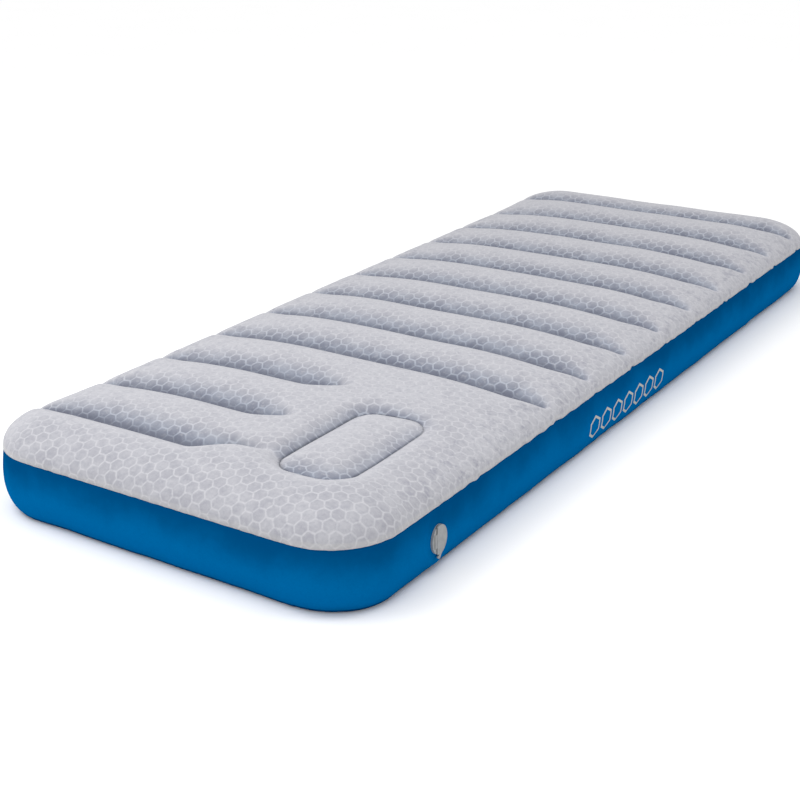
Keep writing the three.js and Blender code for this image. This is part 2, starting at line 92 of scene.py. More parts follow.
BEAMS = beam_boxes()
PITCH = BEAMS[1][0] - BEAMS[0][0]
PUMP_X = (PUMP_LOW.x + PUMP_HIGH.x) / 2
PUMP_Y = (PUMP_LOW.y + PUMP_HIGH.y) / 2
PUMP_HALF_X = (PUMP_HIGH.x - PUMP_LOW.x) / 2
PUMP_HALF_Y = (PUMP_HIGH.y - PUMP_LOW.y) / 2
PUMP_CORNER = 0.62 * PUMP_HALF_X
LIP_REACH = 0.62 * PUMP_HALF_X  # how far the groove's slope spreads over the bed
PAD_REACH = 0.9 * PUMP_HALF_X  # and over the pad
GROOVE_DEPTH = CREST_Z - PUMP_HIGH.z - 4 * MM
GROOVE_EASE = 0.45  # share by which it is shallower at the corner towards the head and +X
WELD_NOTCH = (1.2 * MM, 2.2 * MM)  # depth and half width of the notch pressed in along a weld
GROOVE_NOTCH = (1.5 * MM, 2.5 * MM)  # the same along the pump's groove

CELL = PITCH / 20  # grid cell of the top sheet
rng = np.random.default_rng(7)


# ---- Smooth seeded noise in one and two dimensions ----
def waves(count, low, high, dims):
    """count sine waves with wavelengths from low to high: (wave vectors, phases, weights)."""
    length = np.exp(rng.uniform(np.log(low), np.log(high), count))
    if dims == 1:
        vectors = (2 * pi / length)[:, None]
    else:
        turn = rng.uniform(0, 2 * pi, count)
        vectors = (2 * pi / length)[:, None] * np.stack([np.cos(turn), np.sin(turn)], 1)
    weights = length / length.sum() * np.sqrt(count)
    return vectors, rng.uniform(0, 2 * pi, count), weights


def noise(wave_set, *coords):
    vectors, phases, weights = wave_set
    total = 0
    for vector, phase, weight in zip(vectors, phases, weights):
        total = total + weight * np.sin(sum(k * c for k, c in zip(vector, coords)) + phase)
    return total


SWELL = waves(14, 0.12, 0.5, 2)
DIMPLE = waves(40, 0.03, 0.08, 2)
EDGE_WAVE = waves(34, 0.016, 0.08, 1)
EDGE_RISE = waves(34, 0.012, 0.05, 1)


# ---- The shape of the top ----
def smooth(t):
    t = np.clip(t, 0, 1)
    return t * t * (3 - 2 * t)


def box_distance(x, y, half_x, half_y, radius):
    """Distance to a rounded rectangle's outline, negative inside."""
    qx = np.abs(x) - (half_x - radius)
    qy = np.abs(y) - (half_y - radius)
    outside = np.hypot(np.maximum(qx, 0), np.maximum(qy, 0))
    return outside + np.minimum(np.maximum(qx, qy), 0) - radius


def pressed_notch(away, depth, half_width):
    """The narrow notch that a weld presses into the sheet."""
    return depth * np.exp(-((away / half_width) ** 2))


def pump_distance(x, y):
    return box_distance(x - PUMP_X, y - PUMP_Y, PUMP_HALF_X, PUMP_HALF_Y, PUMP_CORNER)


def first_weld_bend(x):
    """The first weld bends round to the pump's corner, this far towards the head."""
    bend = 0.16 * PITCH * smooth((x - BEAMS[0][2] + 0.5 * PITCH) / (0.6 * PITCH))
    return bend * (1 - smooth((x - PUMP_X + PUMP_HALF_X) / PUMP_HALF_X))


def weld_valleys(x, y):
    """How deep the welds draw the top down, and how near a place is to a weld, from 0 to 1."""
    depth = np.zeros(np.shape(x))
    nearness = np.zeros(np.shape(x))
    for index, (weld_y, start, end) in enumerate(BEAMS):
        past = np.maximum(x - end, start - x)
        short = (x > 0) & (end < 0.5 * HALF_W)
        tail = np.where((x > 0) & (index == 0), 0.5 * PITCH, 0.06 * PITCH)
        fade = np.where(short, 0.2 * PITCH, 0.1 * PITCH)
        share = 1 - smooth((past + fade) / (fade + tail))
        creased = 1 - smooth((past + 0.05 * PITCH) / (0.05 * PITCH + tail))
        half = PITCH / 2 * (1 - 0.68 * smooth((past + 0.55 * PITCH) / (0.6 * PITCH)))
        away = np.abs(y - weld_y - (first_weld_bend(x) if index == 0 else 0))
        across = np.maximum(0, 1 - away / half)
        notch = pressed_notch(away, *WELD_NOTCH)
        depth = depth + share * SAG * across**VALLEY_POWER + creased * notch
        nearness = np.maximum(nearness, np.maximum(share, 0.8 * creased) * across)
    return depth, nearness


def groove(x, y):
    """How deep the weld round the pump draws the top down, and the nearness to it."""
    away = pump_distance(x, y)
    reach = np.where(away > 0, LIP_REACH, PAD_REACH)
    across = np.maximum(0, 1 - np.abs(away) / reach)
    toward_corner = smooth(((x - PUMP_X) / PUMP_HALF_X + (y - PUMP_Y) / PUMP_HALF_Y) / 2)
    depth = GROOVE_DEPTH * (1 - GROOVE_EASE * toward_corner)
    notch_depth, notch_width = GROOVE_NOTCH
    notch = pressed_notch(away, notch_depth * (1 - 0.7 * toward_corner), notch_width)
    return depth * across**2 + notch, across


def side_share(y):
    """0 at the two ends, growing to 1 where the long sides' wide shoulder is fully formed."""
    return (np.clip(HALF_L - np.abs(y), END_ROLL, SIDE_ROLL) - END_ROLL) / (SIDE_ROLL - END_ROLL)


def shoulder_rise(inside, y, near_weld):
    """Share of the full height that the rounded shoulder has reached: fuller on the crests."""
    roll = np.clip(HALF_L - np.abs(y), END_ROLL, SIDE_ROLL)
    short = 1 - np.clip(inside / roll, 0, 1)
    power = ROLL_POWER + FULLNESS * side_share(y) * (1 - near_weld**2)
    return (1 - short**power) ** (1 / power)


def top_height(x, y):
    inside = -box_distance(x, y, HALF_W, HALF_L, CORNER)
    valley, near_weld = weld_valleys(x, y)
    crown = CREST_Z - valley - groove(x, y)[0]
    return SEAM_Z + (crown - SEAM_Z) * shoulder_rise(inside, y, near_weld)


# ---- The top sheet's grid ----
def row_stations():
    """Rows: (placed close together at the welds, evenly placed), from the pump end to the head end."""
    even = np.linspace(0, 1, 11)
    close = 0.35 * even + 0.65 * even**2.2
    close = np.concatenate([close / 2, 1 - close[-2::-1] / 2])
    even = np.linspace(0, 1, len(close))
    welds = [y for y, _, _ in BEAMS]
    near = np.concatenate([low + PITCH * close[:-1] for low in welds[:-1]])
    plain = np.concatenate([low + PITCH * even[:-1] for low in welds[:-1]])
    steps = 30
    turn = np.linspace(0, pi / 2, steps + 1)[1:]
    share = 0.3 * turn / (pi / 2) + 0.7 * np.sin(turn)
    end = welds[-1] + (HALF_L - welds[-1]) * share ** 1.12
    return tuple(np.concatenate([-end[::-1], inner, welds[-1:], end]) for inner in (near, plain))


def column_stations():
    """Fractions of the half width, closer together towards the seam."""
    steps = 22
    turn = np.linspace(0, pi / 2, steps + 1)[1:]
    flat = 0.74
    inner = np.linspace(-flat, flat, round(2 * flat * HALF_W / CELL) + 1)
    shoulder = flat + (1 - flat) * (0.3 * turn / (pi / 2) + 0.7 * np.sin(turn))
    return np.concatenate([-shoulder[::-1], inner, shoulder])


def half_width(y):
    past = np.maximum(0, np.abs(y) - STRAIGHT_Y)
    return STRAIGHT_X + np.sqrt(np.maximum(0, CORNER**2 - past**2))


def slope_excess(distance, height):
    """Extra length along a profile, over its plan length, summed from its start."""
    run = np.diff(distance)
    extra = np.hypot(run, np.diff(height)) - run
    return np.concatenate([[0], np.cumsum(extra)])


def outward(x, y):
    """Unit direction away from the middle, square to the seam."""
    nudge = 0.1 * MM
    d = box_distance(x, y, HALF_W, HALF_L, CORNER)
    out_x = (box_distance(x + nudge, y, HALF_W, HALF_L, CORNER) - d) / nudge
    out_y = (box_distance(x, y + nudge, HALF_W, HALF_L, CORNER) - d) / nudge
    return out_x, out_y


def cloth_coordinates(x, y):
    """Places on the flat cloth before it was blown up, so that the print keeps its size on slopes."""
    line = np.linspace(-HALF_L, HALF_L, 4001)
    crest = CREST_Z - weld_valleys(0 * line, line)[0]
    along = slope_excess(line, crest)
    along = along - along[len(line) // 2]
    inside = -box_distance(x, y, HALF_W, HALF_L, CORNER)

    def over_shoulder(roll, station):
        inward = np.linspace(0, roll, 300)
        profile = SEAM_Z + (CREST_Z - SEAM_Z) * shoulder_rise(inward, station, 0)
        over = slope_excess(inward, profile)
        return np.interp(inside, inward, over[-1] - over)

    out_x, out_y = outward(x, y)
    at_side = side_share(y)
    extra = (1 - at_side) * over_shoulder(END_ROLL, HALF_L) + at_side * over_shoulder(SIDE_ROLL, 0)
    return x + out_x * extra, y + np.interp(y, line, along) + out_y * extra


def at_weld_ends(x, y, reach):
    """1 where a weld points at the seam, on either long side, falling to 0 within reach."""
    share = np.zeros(np.shape(x))
    for weld_y, start, end in BEAMS:
        for side, length in ((-1, -start), (1, end)):
            if length > 0.8 * HALF_W:
                near = np.exp(-(((y - weld_y) / reach) ** 2)) * (np.sign(x) == side)
                share = share + near * (np.abs(x) > STRAIGHT_X)
    return share


def along_seam(x, y):
    """A coordinate that grows along the seam, for its waves."""
    return y + np.sign(y) * (HALF_W - np.abs(x)) + 0.37 * np.sign(x)


def seam_scallop(x, y):
    """How far the seam is drawn in at the welds' ends and wanders between, in metres."""
    wander = (0.2 + 0.4 * side_share(y)) * MM * noise(EDGE_WAVE, along_seam(x, y))
    return 2.6 * MM * at_weld_ends(x, y, 8 * MM) + wander


def new_mesh(name, points, faces, smooth_shading=True):
    mesh = bpy.data.meshes.new(name)
    mesh.from_pydata([tuple(p) for p in points], [], [tuple(int(i) for i in f) for f in faces])
    mesh.validate()
    mesh.update()
    if smooth_shading:
        mesh.shade_smooth()
    obj = bpy.data.objects.new(name, mesh)
    bpy.context.scene.collection.objects.link(obj)
    return obj


def set_vector_attribute(obj, name, values):
    attribute = obj.data.attributes.new(name, "FLOAT_VECTOR", "POINT")
    attribute.data.foreach_set("vector", np.asarray(values, np.float32).ravel())


def grid_faces(rows, columns):
    index = np.arange(rows * columns).reshape(rows, columns)
    corners = [index[:-1, :-1], index[:-1, 1:], index[1:, 1:], index[1:, :-1]]
    return np.stack([c.ravel() for c in corners], 1)


def top_grid():
    """Points, faces, cloth places and form (weld nearness, crumpling, edge) of the whole top."""
    close_rows, even_rows = row_stations()
    columns = column_stations()
    u, y = np.meshgrid(columns, close_rows)
    even_y = np.meshgrid(columns, even_rows)[1]
    x = u * HALF_W
    beside_pump = smooth((x - BEAMS[0][2] - 0.1 * PITCH) / (0.3 * PITCH)) * (y < BEAMS[2][0] + PITCH / 2)
    y = y + (even_y - y) * beside_pump
    y = y + first_weld_bend(x) * np.maximum(0, 1 - np.abs(y - BEAMS[0][0]) / (0.45 * PITCH))
    x = u * half_width(y)
    faces = grid_faces(len(close_rows), len(columns))
    x = x.ravel()
    y = y.ravel()

    # The cells on the pump's outline are drawn onto it, so that both pieces end exactly there.
    centre = pump_distance(x[faces].mean(1), y[faces].mean(1))
    in_pump = centre < 0
    shared = np.intersect1d(faces[in_pump], faces[~in_pump])
    nudge = 0.01 * MM
    for _ in range(3):
        d = pump_distance(x[shared], y[shared])
        gx = (pump_distance(x[shared] + nudge, y[shared]) - d) / nudge
        gy = (pump_distance(x[shared], y[shared] + nudge) - d) / nudge
        x[shared] -= d * gx
        y[shared] -= d * gy

    z = top_height(x, y)
    inside = -box_distance(x, y, HALF_W, HALF_L, CORNER)
    near_groove = groove(x, y)[1]
    near_weld = weld_valleys(x, y)[1]
    rise = shoulder_rise(inside, y, near_weld)
    near_edge = 1 - smooth(inside / (0.3 * HALF_W))
    crumpled = np.clip(0.25 + (0.1 + 0.75 * side_share(y)) * near_edge + 0.4 * near_groove, 0, 1.2)
    loose = rise * (1 - 0.8 * near_weld)
    z = z + loose * (0.9 * MM * noise(SWELL, x, y) + 0.3 * MM * crumpled * noise(DIMPLE, x, y))
    rim = 1 - smooth(inside / (14 * MM))
    wander = (0.3 + 0.6 * side_share(y)) * MM * (noise(EDGE_RISE, along_seam(x, y)) - 1)
    wander = wander + 1.4 * MM * at_weld_ends(x, y, 6 * MM)
    draw_in = seam_scallop(x, y) * near_edge**4
    out_x, out_y = outward(x, y)
    cloth = np.stack([*cloth_coordinates(x, y), np.zeros_like(x)], 1)
    points = np.stack([x - out_x * draw_in, y - out_y * draw_in, z + rim * wander], 1)
    form = np.stack([np.maximum(near_weld, 0.85 * near_groove), crumpled, rim], 1)
    return points, faces, cloth, form, in_pump


def part_of(name, points, faces, cloth, form):
    used, packed = np.unique(faces, return_inverse=True)
    obj = new_mesh(name, points[used], packed.reshape(faces.shape))
    set_vector_attribute(obj, "cloth", cloth[used])
    set_vector_attribute(obj, "form", form[used])
    return obj


def subdivide(obj):
    rounding = obj.modifiers.new("rounding", "SUBSURF")
    rounding.levels = 1
    rounding.render_levels = 1
    return obj


def thicken(obj):
    solid = obj.modifiers.new("sheet", "SOLIDIFY")
    solid.thickness = SHEET
    solid.offset = -1
    return obj


def finish_piece(obj, material):
    obj.data.materials.append(material)
    return obj


def build_top():
    points, faces, cloth, form, in_pump = top_grid()
    sheet = part_of("flocked_top", points, faces[~in_pump], cloth, form)
    pad = part_of("pump_pad_cover", points, faces[in_pump], cloth, form)
    for piece in (sheet, pad):
        thicken(subdivide(piece))
        finish_piece(piece, FLOCK)
    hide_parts("top_sheet")
    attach(sheet, "mattress")
    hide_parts("pump_pad")
    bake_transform(pad)


# ---- Foam block that springs the pump pad back ----
def build_foam():
    """Rings drawn in from the pump's outline: up the sides, then over the crown to its middle."""
    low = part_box("pump_foam")[0]
    clear = 6 * MM
    around = 96
    squareness = 0.55
    turn = np.linspace(0, 2 * pi, around, endpoint=False)
    half_x = PUMP_HALF_X - clear
    half_y = PUMP_HALF_Y - clear
    x = half_x * np.sign(np.cos(turn)) * np.abs(np.cos(turn)) ** squareness
    y = half_y * np.sign(np.sin(turn)) * np.abs(np.sin(turn)) ** squareness
    rings = []
    for height in np.linspace(0, 1, 12):
        bulge = 1 - 0.02 * sin(pi * height)
        top = top_height(PUMP_X + x * bulge, PUMP_Y + y * bulge) - clear
        rings.append(np.stack([x * bulge, y * bulge, low.z + (top - low.z) * height], 1))
    for share in (0.97, 0.92, 0.84, 0.72, 0.56, 0.38, 0.18):
        top = top_height(PUMP_X + x * share, PUMP_Y + y * share) - clear
        rings.append(np.stack([x * share, y * share, top], 1))
    points = np.concatenate(rings)
    points[:, :2] += (PUMP_X, PUMP_Y)
    index = np.arange(len(points)).reshape(len(rings), around)
    following = np.roll(index, -1, axis=1)
    faces = [
        (index[r, i], following[r, i], following[r + 1, i], index[r + 1, i])
        for r in range(len(rings) - 1)
        for i in range(around)
    ]
    faces += [tuple(index[-1]), tuple(index[0][::-1])]
    foam = finish_piece(new_mesh("foam_block", points, faces), FOAM)
    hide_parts("pump_foam")
    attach(foam, "mattress")
    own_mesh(foam)


# ---- Side wall: a profile carried round the seam ----
class Valve:
    """Where a valve sits on the wall, from its welded flange."""

    def __init__(self, name, side, hole):
        low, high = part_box(f"{name}_flange")
        self.side = side
        self.y = (low.y + high.y) / 2
        self.z = (low.z + high.z) / 2
        self.flange = (high.z - low.z) / 2
        self.seat = max(abs(low.x), abs(high.x)) + SHEET + 0.4 * MM
        self.hole = hole

    def away(self, y, z):
        return np.hypot(y - self.y, z - self.z)


def half_height(node):
    low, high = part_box(node)
    return (high.z - low.z) / 2


VALVES = (
    Valve("intake", 1, half_height("intake_duct")),
    Valve("release", -1, 0.92 * half_height("release_cap")),
)
FLAT_SHARE = 1.07  # the wall lies flat this far round a valve, as a share of its flange
FADE_SHARE = 1.97  # and has its full bulge again this far round it
SEAM_ALLOWANCE = 12 * MM  # strip of the wall that is turned in at the foot
WALL_TUCK = HALF_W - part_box("bottom_sheet")[1].x
WALL_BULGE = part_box("side_wall")[1].x - HALF_W
WALL_WAVE = waves(24, 0.05, 0.3, 1)
WALL_PUCKER = waves(30, 0.012, 0.05, 1)


def side_stations():
    """Places along a straight side, closer together beside the valve."""
    valve = VALVES[0]
    fade = FADE_SHARE * valve.flange
    before = np.linspace(-STRAIGHT_Y, valve.y - fade, 10)
    beside = np.linspace(valve.y - fade, valve.y + fade, 41)
    after = np.linspace(valve.y + fade, STRAIGHT_Y, 280)
    return np.concatenate([before, beside[1:-1], after])[1:-1]


def outline():
    """Rows of (x, y, normal x, normal y) round the seam, anticlockwise from the foot's +X corner."""
    corner_steps = 34

    def corner(sign_x, sign_y, start):
        turn = start + np.linspace(0, pi / 2, corner_steps + 1)
        normal = np.stack([np.cos(turn), np.sin(turn)], 1)
        centre = (sign_x * STRAIGHT_X, sign_y * STRAIGHT_Y)
        return np.concatenate([centre + CORNER * normal, normal], 1)

    def side(sign):
        y = side_stations()[::sign]
        return np.stack([0 * y + sign * HALF_W, y, 0 * y + sign, 0 * y], 1)

    def end(sign):
        x = -sign * np.linspace(-STRAIGHT_X, STRAIGHT_X, 94)[1:-1]
        return np.stack([x, 0 * x + sign * HALF_L, 0 * x, 0 * x + sign], 1)

    return np.concatenate([
        corner(1, -1, -pi / 2), side(1), corner(1, 1, 0), end(1),
        corner(-1, 1, pi / 2), side(-1), corner(-1, -1, pi), end(-1),
    ])


def wall_inset(z):
    """How far the wall lies inside the seam at a height: bulged, tucked in, with a lip at the foot."""
    u = np.clip(z / SEAM_Z, 0, 1)
    tuck = WALL_TUCK * (1 - np.sqrt(1 - (1 - u) ** 4))
    lip = 2.4 * MM * (1 - smooth((z - 1.4 * MM) / (2.6 * MM)))
    under_lap = 2.2 * MM * smooth((z - SEAM_Z + 3 * MM) / (4 * MM))
    return tuck - WALL_BULGE * np.sin(pi * np.minimum(1, u * 1.06)) - lip + under_lap


def wall_grid():
    loop = outline()
    foot = np.array([1.3, 2.2, 3.2, 4.6, 7, 10.5, 14.5]) * MM
    lap = np.array([0.5, 2.5]) * MM
    heights = np.concatenate([foot, np.linspace(18 * MM, SEAM_Z - 2 * MM, 30), SEAM_Z + lap])
    x, y, nx, ny = (loop[:, i][:, None] for i in range(4))
    z = np.broadcast_to(heights[None, :], (len(loop), len(heights)))
    run = np.cumsum(np.hypot(*(np.diff(loop[:, :2], axis=0, prepend=loop[:1, :2])).T))[:, None]
    inset = wall_inset(z)
    low = 1 - smooth(z / (0.35 * SEAM_Z))
    high = smooth((z - 0.55 * SEAM_Z) / (0.45 * SEAM_Z))
    inset = inset + low * 0.7 * MM * noise(WALL_WAVE, run) + high * 0.12 * MM * noise(WALL_PUCKER, run)
    inset = inset + high**3 * seam_scallop(x + 0 * z, y + 0 * z)
    for valve in VALVES:
        away = valve.away(y, z)
        fade = (FADE_SHARE * valve.flange - away) / ((FADE_SHARE - FLAT_SHARE) * valve.flange)
        ring = 0.7 * MM * smooth((valve.flange + 1.5 * MM - away) / (2 * MM))
        flat = smooth(fade) * (nx * valve.side > 0.999)
        inset = inset + (HALF_W - valve.seat - ring - inset) * flat
    points = np.stack([x - nx * inset, y - ny * inset, z + 0 * x], 2)
    flange = points[:, 0] - np.concatenate([nx, ny, 0 * nx], 1) * SEAM_ALLOWANCE
    return np.concatenate([flange[:, None], points], 1)


def build_wall():
    grid = wall_grid()
    rows, columns, _ = grid.shape
    points = grid.reshape(-1, 3)
    index = np.arange(rows * columns).reshape(rows, columns)
    following = np.roll(index, -1, axis=0)
    quads = [index[:, :-1], following[:, :-1], following[:, 1:], index[:, 1:]]
    faces = np.stack([q.ravel() for q in quads], 1)
    for valve in VALVES:
        centre = points[faces].mean(1)
        in_hole = (valve.away(centre[:, 1], centre[:, 2]) < valve.hole) & (centre[:, 0] * valve.side > 0)
        rim = np.intersect1d(faces[in_hole], faces[~in_hole])
        offset = points[rim, 1:] - (valve.y, valve.z)
        points[rim, 1:] = (valve.y, valve.z) + offset * valve.hole / np.linalg.norm(offset, axis=1)[:, None]
        faces = faces[~in_hole]
    wall = finish_piece(thicken(new_mesh("vinyl_wall", points, faces)), VINYL)
    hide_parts("side_wall")
    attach(wall, "mattress")


# ---- Shader helpers ----
class Nodes:
    """A material's node tree, with short calls for the nodes used here."""

    def __init__(self, name):
        self.material = bpy.data.materials.new(name)
        self.material.use_nodes = True
        self.tree = self.material.node_tree
        self.bsdf = self.tree.nodes["Principled BSDF"]

    def node(self, kind, **settings):
        made = self.tree.nodes.new(kind)
        for key, value in settings.items():
            setattr(made, key, value)
        return made

    def link(self, source, target):
        if isinstance(source, (int, float)):
            target.default_value = source
        elif isinstance(source, tuple):
            target.default_value = source if len(source) == len(target.default_value) else (*source, 1)
        else:
            self.tree.links.new(source, target)

    def math(self, operation, a, b=0.0, c=0.0):
        made = self.node("ShaderNodeMath", operation=operation)
        for value, socket in zip((a, b, c), made.inputs):
            self.link(value, socket)
        return made.outputs[0]

    def noise(self, vector, scale, detail=3.0, roughness=0.5):
        made = self.node("ShaderNodeTexNoise")
        self.link(vector, made.inputs["Vector"])
        made.inputs["Scale"].default_value = scale
        made.inputs["Detail"].default_value = detail
        made.inputs["Roughness"].default_value = roughness
        return made.outputs["Fac"]

    def ramp(self, value, low, high, out_low=0.0, out_high=1.0):
        made = self.node("ShaderNodeMapRange", interpolation_type="SMOOTHSTEP")
        for source, socket in zip((value, low, high, out_low, out_high), made.inputs):
            self.link(source, socket)
        return made.outputs[0]

    def mix(self, share, a, b):
        made = self.node("ShaderNodeMix", data_type="RGBA")
        self.link(share, made.inputs["Factor"])
        self.link(a, made.inputs["A"])
        self.link(b, made.inputs["B"])
        return made.outputs["Result"]

    def bump(self, height, strength, distance, normal=None):
        made = self.node("ShaderNodeBump")
        self.link(height, made.inputs["Height"])
        made.inputs["Strength"].default_value = strength
        made.inputs["Distance"].default_value = distance
        if normal is not None:
            self.link(normal, made.inputs["Normal"])
        return made.outputs["Normal"]

    def set(self, **inputs):
        for name, value in inputs.items():
            self.link(value, self.bsdf.inputs[name.replace("_", " ")])


def hexagon_edge(n, u, v, pitch):
    """Distance in metres from the nearest edge of a hexagon net, whose cells touch along v."""
    wide = pitch * 3**0.5

    def local(offset):
        a = n.math("SUBTRACT", n.math("FLOORED_MODULO", n.math("ADD", u, offset * wide), wide), wide / 2)
        b = n.math("SUBTRACT", n.math("FLOORED_MODULO", n.math("ADD", v, offset * pitch), pitch), pitch / 2)
        size = n.math("SQRT", n.math("ADD", n.math("MULTIPLY", a, a), n.math("MULTIPLY", b, b)))
        return n.math("ABSOLUTE", a), n.math("ABSOLUTE", b), size

    a0, b0, d0 = local(0.0)
    a1, b1, d1 = local(0.5)
    second = n.math("GREATER_THAN", d0, d1)
    first = n.math("SUBTRACT", 1.0, second)
    a = n.math("ADD", n.math("MULTIPLY", a0, first), n.math("MULTIPLY", a1, second))
    b = n.math("ADD", n.math("MULTIPLY", b0, first), n.math("MULTIPLY", b1, second))
    slanted = n.math("ADD", n.math("MULTIPLY", a, cos(pi / 6)), n.math("MULTIPLY", b, sin(pi / 6)))
    reach = n.math("SMOOTH_MAX", b, slanted, 1.2 * MM)
    return n.math("SUBTRACT", pitch / 2, reach)


# ---- Materials ----
def srgb(red, green, blue):
    """A colour given as screen levels from 0 to 255, as linear light."""
    levels = np.array([red, green, blue]) / 255
    linear = np.where(levels < 0.04045, levels / 12.92, ((levels + 0.055) / 1.055) ** 2.4)
    return tuple(float(v) for v in linear)


CELL_PALE = srgb(164, 164, 171)
LINE_PALE = srgb(186, 186, 191)
# The next two colours are the print in painted shade, for the valleys beside the welds.
CELL_VALLEY_SHADE = srgb(114, 119, 134)
LINE_VALLEY_SHADE = srgb(158, 165, 178)
FELT_DARK = srgb(138, 140, 150)
NAP_CRUSHED = srgb(132, 133, 146)
NAP_BRUSHED = srgb(190, 190, 194)
WELD_SHADE = srgb(96, 99, 112)
RIM_PALE = srgb(190, 188, 184)
SHEEN_TINT = srgb(247, 247, 252)
# Wall blues: lit low down, in painted shade under the seam (the shaded one also colours the speckle), and
# in painted shadow at the foot.
WALL_LIT_BLUE = srgb(0, 98, 158)
WALL_SHADE_AND_SPECKLE = srgb(0, 70, 120)
WALL_FOOT_SHADOW = srgb(0, 50, 98)
MARK_GREY = srgb(176, 177, 172)

# These are in linear light.
BASE_BLUE = (0.002, 0.075, 0.22)
CHAMBER_GREY = (0.48, 0.55, 0.60)
FOAM_SHADE = (0.46, 0.40, 0.22)
FOAM_PALE = (0.80, 0.74, 0.50)
VALVE_GREY = (0.30, 0.305, 0.31)
SEAL_WHITE = (0.78, 0.79, 0.79)
FLOOR_LEVELS = (0.95, 0.97)

PRINT_PITCH = 0.139 * PITCH  # width of a printed hexagon on the flat cloth


def print_mask(n, crumpled):
    """1 inside the printed hexagons and 0 on their lines, which wander more where the cloth is crumpled."""
    cloth = n.node("ShaderNodeAttribute", attribute_name="cloth").outputs["Vector"]
    wander = n.node("ShaderNodeTexNoise")
    n.link(cloth, wander.inputs["Vector"])
    wander.inputs["Scale"].default_value = 90
    wander.inputs["Detail"].default_value = 3
    strength = n.node("ShaderNodeVectorMath", operation="SCALE")
    n.link((1, 1, 0), strength.inputs[0])
    n.link(n.ramp(crumpled, 0.4, 1.0, 3 * MM, 10 * MM), strength.inputs["Scale"])
    shift = n.node("ShaderNodeVectorMath", operation="MULTIPLY_ADD")
    n.link(wander.outputs["Color"], shift.inputs[0])
    n.link(strength.outputs[0], shift.inputs[1])
    n.link(cloth, shift.inputs[2])
    axes = n.node("ShaderNodeSeparateXYZ")
    n.link(shift.outputs[0], axes.inputs[0])
    edge = hexagon_edge(n, axes.outputs["X"], axes.outputs["Y"], PRINT_PITCH)
    return n.ramp(edge, 0.5 * MM, 2.4 * MM)


def print_with_shade_and_sheen(n, place, in_cell, near_weld, crumpled):
    """The print's two colours, with painted shade that makes them deeper and bluer towards the welds and
    painted sheen that fades them where seen edge on.
    """
    facing = n.node("ShaderNodeLayerWeight")
    facing.inputs["Blend"].default_value = 0.5
    face_on = n.math("SUBTRACT", 1.0, facing.outputs["Facing"])
    # Painted shade: the print deepens towards the welds where the slope is seen face on.
    depth = n.math("MULTIPLY", n.ramp(near_weld, 0.25, 0.95), n.ramp(face_on, 0.3, 0.75))
    cell = n.mix(depth, CELL_PALE, CELL_VALLEY_SHADE)
    line = n.mix(depth, LINE_PALE, LINE_VALLEY_SHADE)
    worn = n.ramp(n.noise(place, 24, 4, 0.6), 0.38, 0.62, 0.55, 1.0)
    # Painted sheen: the print's contrast fades where the nap is seen edge on.
    contrast = n.math("MULTIPLY", in_cell, n.ramp(face_on, 0.22, 0.6, 0.25, 1.0))
    contrast = n.math("MULTIPLY", contrast, n.ramp(crumpled, 0.5, 1.1, 1.0, 0.7))
    return n.mix(n.math("MULTIPLY", contrast, worn), line, cell)


def nap_colour(n, place, colour, crumpled):
    """The print's colour mottled by felt, by crushed nap and by paler brushed streaks."""
    felt = n.ramp(n.noise(place, 120, 5, 0.72), 0.42, 0.7)
    colour = n.mix(n.math("MULTIPLY", felt, 0.36), colour, FELT_DARK)
    crushed = n.ramp(n.noise(place, 50, 5, 0.72), 0.5, 0.66)
    crushed = n.math("MULTIPLY", crushed, n.ramp(crumpled, 0.2, 0.9, 0.25, 1.0))
    colour = n.mix(n.math("MULTIPLY", crushed, 0.5), colour, NAP_CRUSHED)
    streak = n.node("ShaderNodeVectorMath", operation="MULTIPLY")
    n.link(place, streak.inputs[0])
    n.link((110, 170, 110), streak.inputs[1])
    brushed = n.ramp(n.noise(streak.outputs[0], 1.0, 4, 0.6), 0.5, 0.72)
    return n.mix(n.math("MULTIPLY", brushed, 0.3), colour, NAP_BRUSHED)


def flock_normal(n, place, in_cell, crumpled):
    """Fine fuzz, then creases where the cloth is crumpled, then the slightly raised hexagons."""
    fuzz = n.bump(n.noise(place, 800, 4, 0.6), 0.3, 0.3 * MM)
    crease = n.node("ShaderNodeBump")
    n.link(n.noise(place, 70, 5, 0.62), crease.inputs["Height"])
    n.link(n.math("MULTIPLY", crumpled, 0.7), crease.inputs["Strength"])
    crease.inputs["Distance"].default_value = 2 * MM
    n.link(fuzz, crease.inputs["Normal"])
    return n.bump(in_cell, 0.2, 0.2 * MM, crease.outputs["Normal"])


def flock_material():
    """Velvet flock printed with a net of hexagons, with painted shade towards the welds and painted sheen
    that fades the print where the nap is seen edge on.
    """
    n = Nodes("flock")
    place = n.node("ShaderNodeTexCoord").outputs["Object"]
    form = n.node("ShaderNodeSeparateXYZ")
    n.link(n.node("ShaderNodeAttribute", attribute_name="form").outputs["Vector"], form.inputs[0])
    near_weld, crumpled, rim = form.outputs
    in_cell = print_mask(n, crumpled)
    colour = print_with_shade_and_sheen(n, place, in_cell, near_weld, crumpled)
    colour = nap_colour(n, place, colour, crumpled)
    colour = n.mix(n.ramp(near_weld, 0.74, 0.98, 0.0, 0.75), colour, WELD_SHADE)
    colour = n.mix(n.ramp(rim, 0.93, 0.995, 0.0, 0.3), colour, RIM_PALE)
    n.set(Base_Color=colour, Roughness=0.95, Specular_IOR_Level=0.06)
    n.set(Sheen_Weight=0.1, Sheen_Roughness=0.5, Sheen_Tint=SHEEN_TINT)
    n.set(Normal=flock_normal(n, place, in_cell, crumpled))
    return n.material


MARK_CELL = 50 * MM  # each hexagon's share of the row on the wall
MARK_COUNT = 7
MARK_START = -0.267 * HALF_L
MARK_HEIGHT = 0.43 * SEAM_Z
MARK_REACH = 0.37 * MARK_CELL  # from a hexagon's middle to its line
MARK_LINE = (2.0 * MM, 2.6 * MM)  # where the line's edge starts and ends


